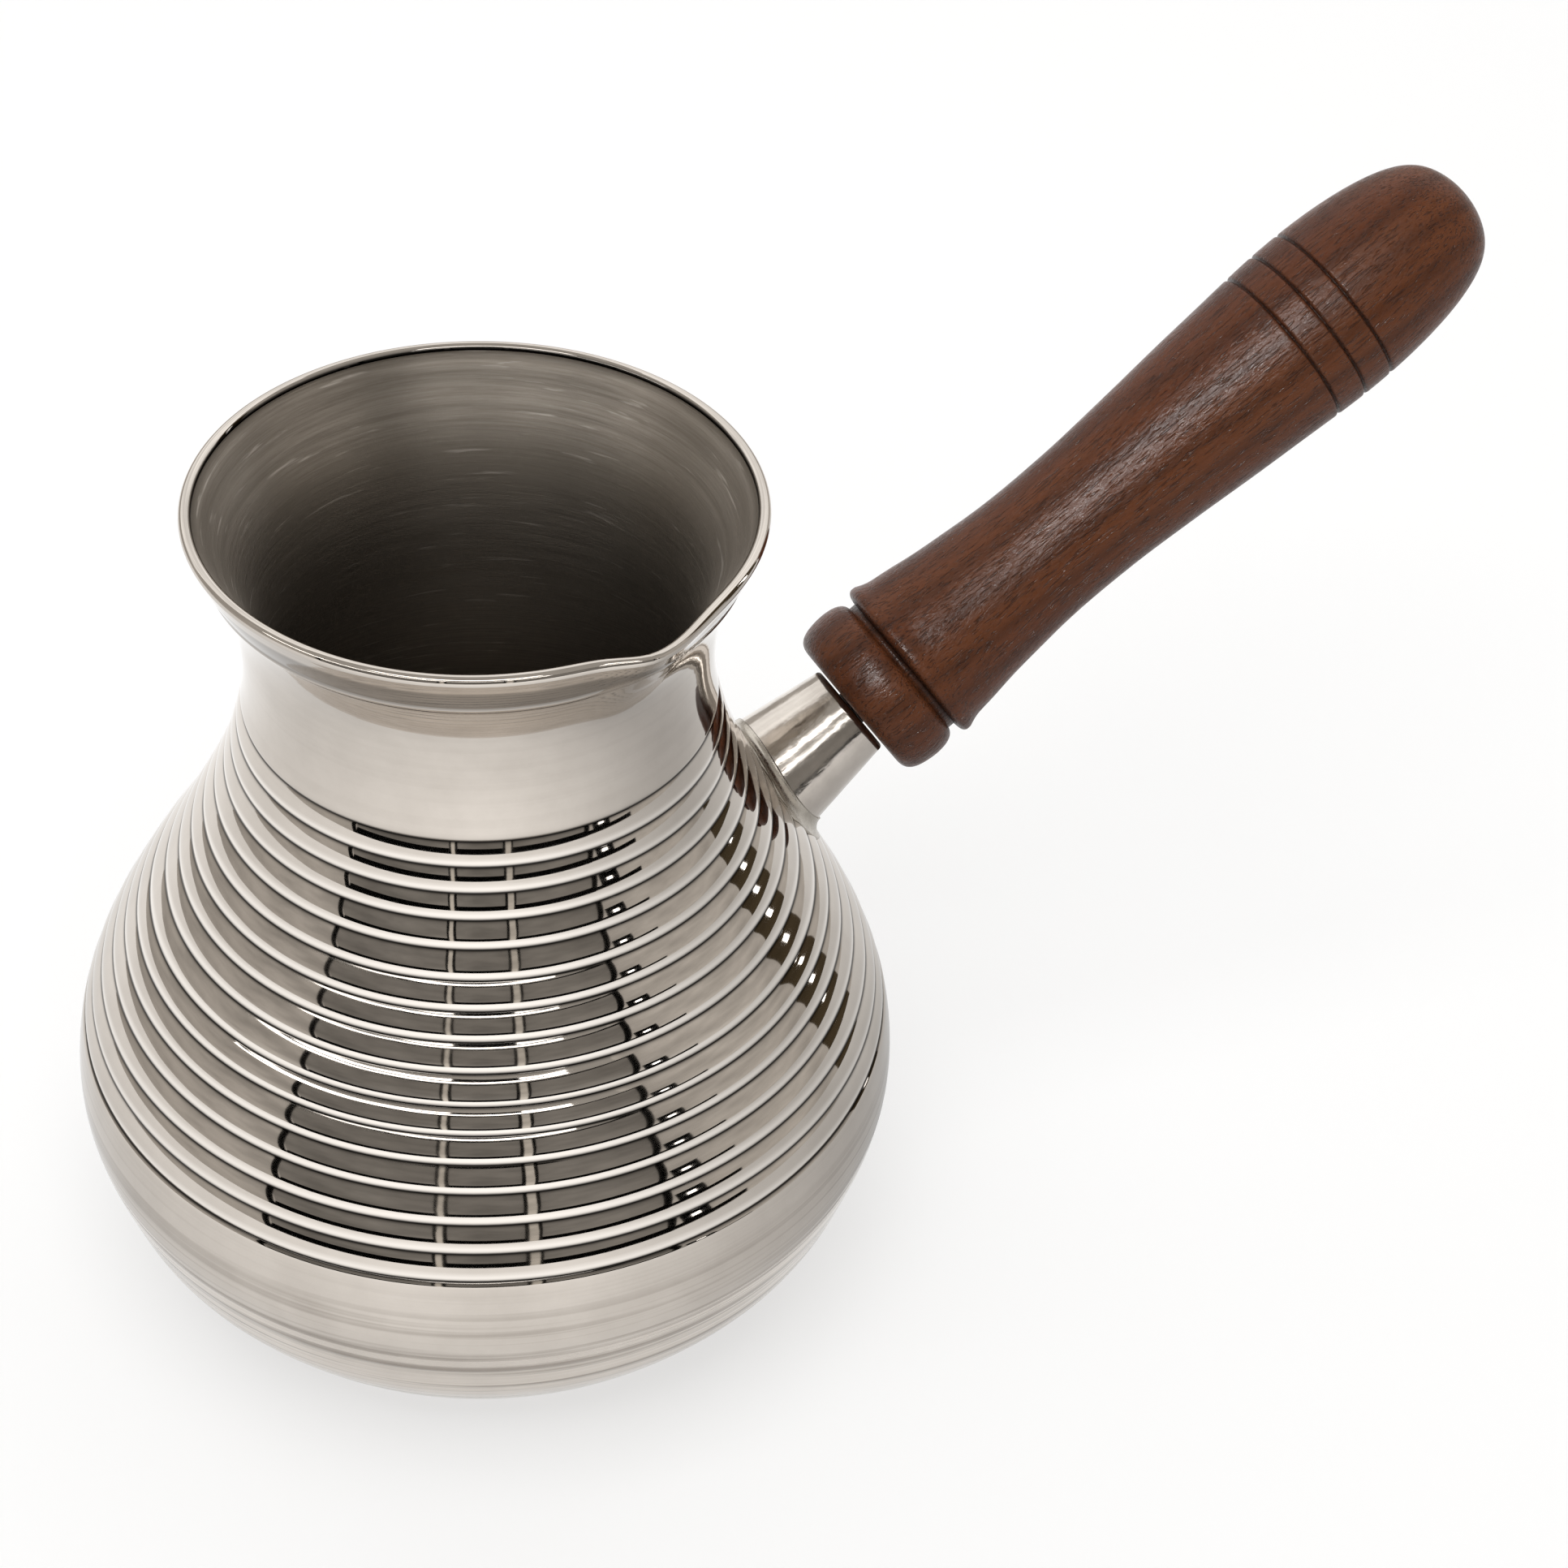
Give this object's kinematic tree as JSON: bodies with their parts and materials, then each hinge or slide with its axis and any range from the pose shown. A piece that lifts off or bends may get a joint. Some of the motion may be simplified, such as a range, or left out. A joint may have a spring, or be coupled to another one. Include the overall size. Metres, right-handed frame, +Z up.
{
  "type": "turkish coffee pot",
  "caption": "Narrow-necked stovetop coffee pot with a ribbed round belly, a pinched pouring lip and a turned wooden handle on a tapered metal socket.",
  "frame": {"origin": "centre of the flat base, on the plane the pot stands on", "axes": "+Z up along the pot's turning axis; +X towards the handle, which leans up 33 degrees from the horizontal in the XZ plane; the pouring lip is on the -Y side, 79.5 degrees round from the handle"},
  "size_m": [0.2037, 0.1112, 0.1339],
  "materials": {
    "plated_body": "nickel plate, mirror polished outside, fine brushed lathe lines inside",
    "plated_socket": "nickel plate, polished",
    "braze_metal": "plated brazing metal, smooth",
    "fixing_steel": "machined",
    "walnut": "turned walnut, satin oil varnish"
  },
  "bodies": {
    "root": {"pot_body": "plated_body", "handle_socket": "plated_socket", "socket_braze_fillet": "braze_metal", "socket_plug": "fixing_steel", "handle_stud": "fixing_steel", "handle_grip": "walnut"}
  },
  "joints": []
}
